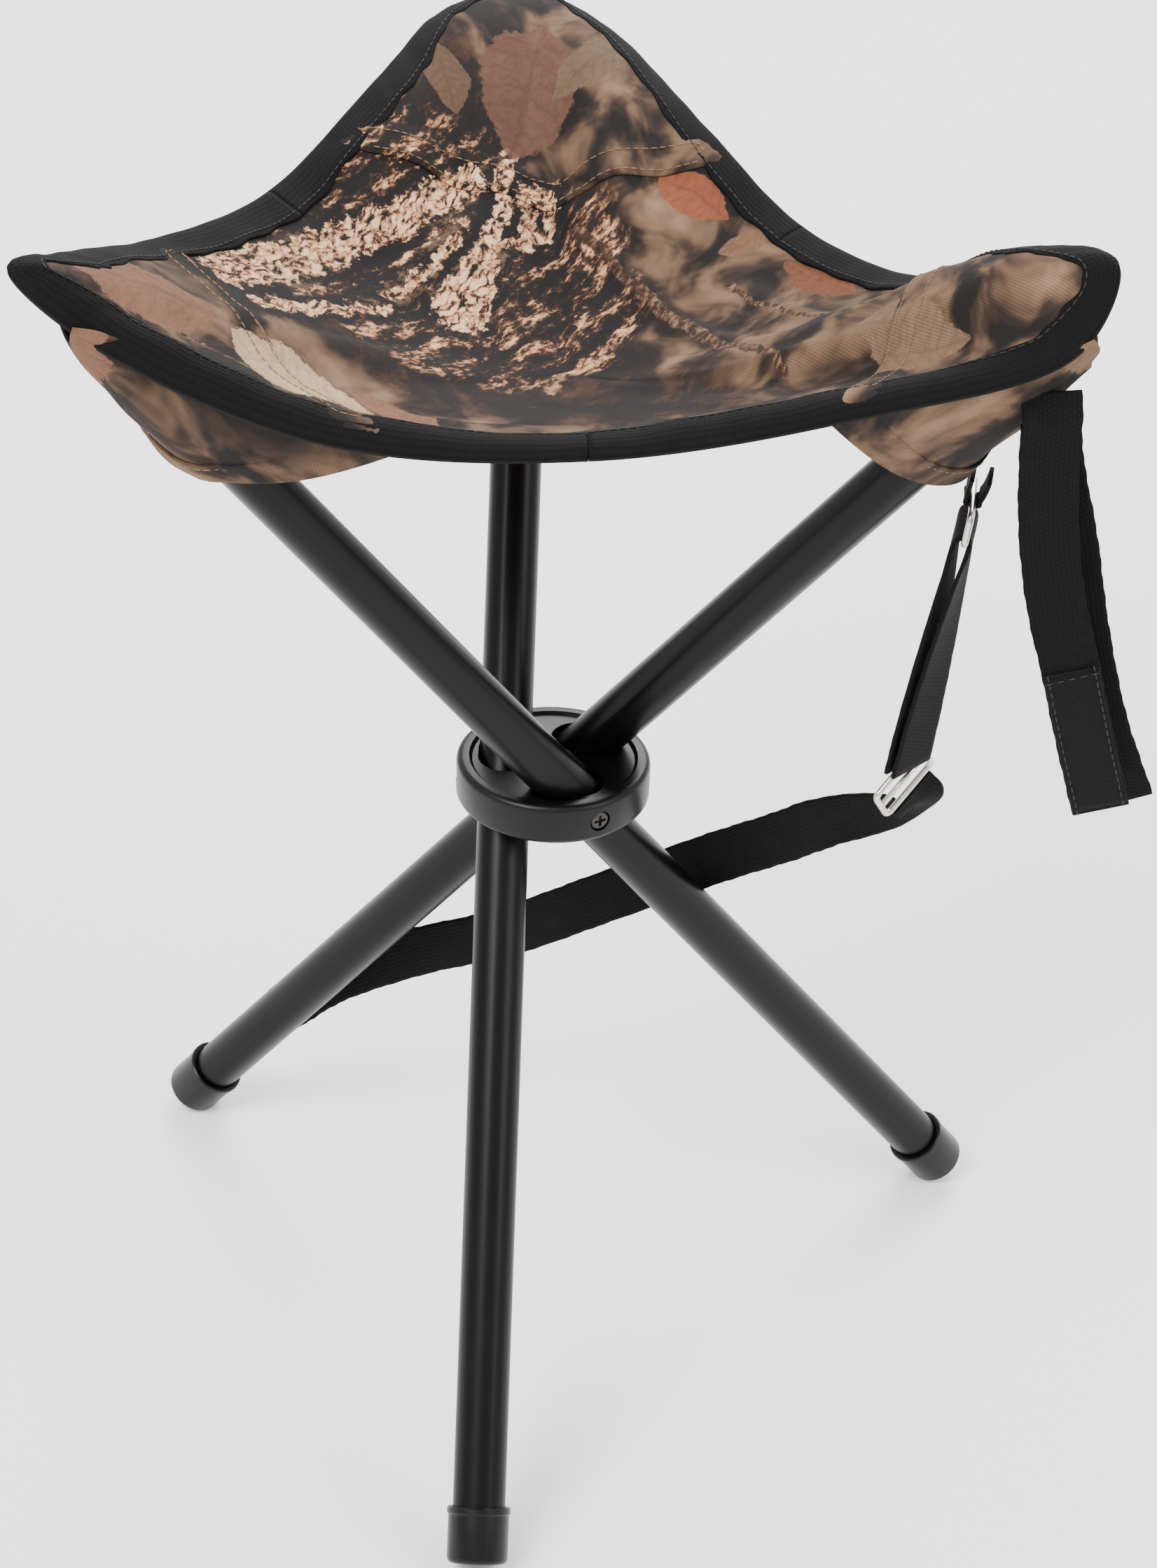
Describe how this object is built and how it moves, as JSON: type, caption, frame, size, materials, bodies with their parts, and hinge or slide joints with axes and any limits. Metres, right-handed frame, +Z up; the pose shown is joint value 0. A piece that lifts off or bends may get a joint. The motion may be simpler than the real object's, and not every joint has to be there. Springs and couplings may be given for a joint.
{
  "type": "folding tripod stool",
  "caption": "Folding tripod stool: crossed tube legs turn on a round hub, a sagging camouflage cloth seat slips over their tips, and a webbing strap carries it folded.",
  "frame": {"origin": "middle of the plan box, on the ground under the open stool", "axes": "+Z up; -Y towards the viewer, where leg B's foot stands; +X to the viewer's right, where the strap's corner C hangs"},
  "size_m": [0.3862, 0.3818, 0.4889],
  "materials": {
    "leg_steel": "satin black powder coat on steel tube",
    "hub_plastic": "moulded black nylon, satin with a fine mould grain",
    "cap_plastic": "moulded black polyethylene, semi-gloss",
    "seat_cloth": "woven polyester with a bark and leaf camouflage print",
    "edge_tape": "ribbed black binding tape, stitched",
    "webbing": "ribbed black polypropylene webbing",
    "grip_pile": "matt black looped pile of a touch fastener",
    "nickel_wire": "nickel-plated steel wire",
    "screw_steel": "black oxide steel"
  },
  "bodies": {
    "hub": {"hub": "hub_plastic", "pivot_screw_a": "screw_steel", "pivot_screw_b": "screw_steel", "pivot_screw_c": "screw_steel", "seat_panel": "seat_cloth"},
    "leg_a": {"leg_tube_a": "leg_steel", "foot_cap_a": "cap_plastic", "end_plug_a": "cap_plastic", "corner_panel_a": "seat_cloth", "corner_pocket_a": "seat_cloth", "edge_binding_a": "edge_tape"},
    "leg_b": {"leg_tube_b": "leg_steel", "foot_cap_b": "cap_plastic", "end_plug_b": "cap_plastic", "corner_panel_b": "seat_cloth", "corner_pocket_b": "seat_cloth", "edge_binding_b": "edge_tape"},
    "leg_c": {"leg_tube_c": "leg_steel", "foot_cap_c": "cap_plastic", "end_plug_c": "cap_plastic", "corner_panel_c": "seat_cloth", "corner_pocket_c": "seat_cloth", "edge_binding_c": "edge_tape", "strap_ring": "nickel_wire", "ring_tab": "webbing", "strap_slider": "nickel_wire", "carry_strap_upper": "webbing", "carry_strap_lower": "webbing", "strap_rivet": "nickel_wire", "closure_tail_front": "webbing", "closure_tail_rear": "webbing", "grip_patch_front": "grip_pile", "grip_patch_rear": "grip_pile"}
  },
  "joints": [
    {"name": "leg_a_fold", "type": "hinge", "parent": "hub", "child": "leg_a", "pos_m": [-0.00708, -0.02203, 0.23162], "axis": [-0.5, 0.866, 0], "range_deg": [0, 38], "deforming": ["seat_panel", "corner_panel_a", "corner_pocket_a", "edge_binding_a"]},
    {"name": "leg_b_fold", "type": "hinge", "parent": "hub", "child": "leg_b", "pos_m": [-0.03348, -0.00679, 0.23162], "axis": [1, 0, 0], "range_deg": [0, 38], "deforming": ["corner_panel_b", "corner_pocket_b", "edge_binding_b"]},
    {"name": "leg_c_fold", "type": "hinge", "parent": "hub", "child": "leg_c", "pos_m": [-0.00708, 0.00846, 0.23162], "axis": [-0.5, -0.866, 0], "range_deg": [0, 38], "deforming": ["corner_panel_c", "corner_pocket_c", "edge_binding_c"]}
  ],
  "couplings": [
    {"joint": "leg_b_fold", "follows": "leg_a_fold", "ratio": 1},
    {"joint": "leg_c_fold", "follows": "leg_a_fold", "ratio": 1}
  ]
}
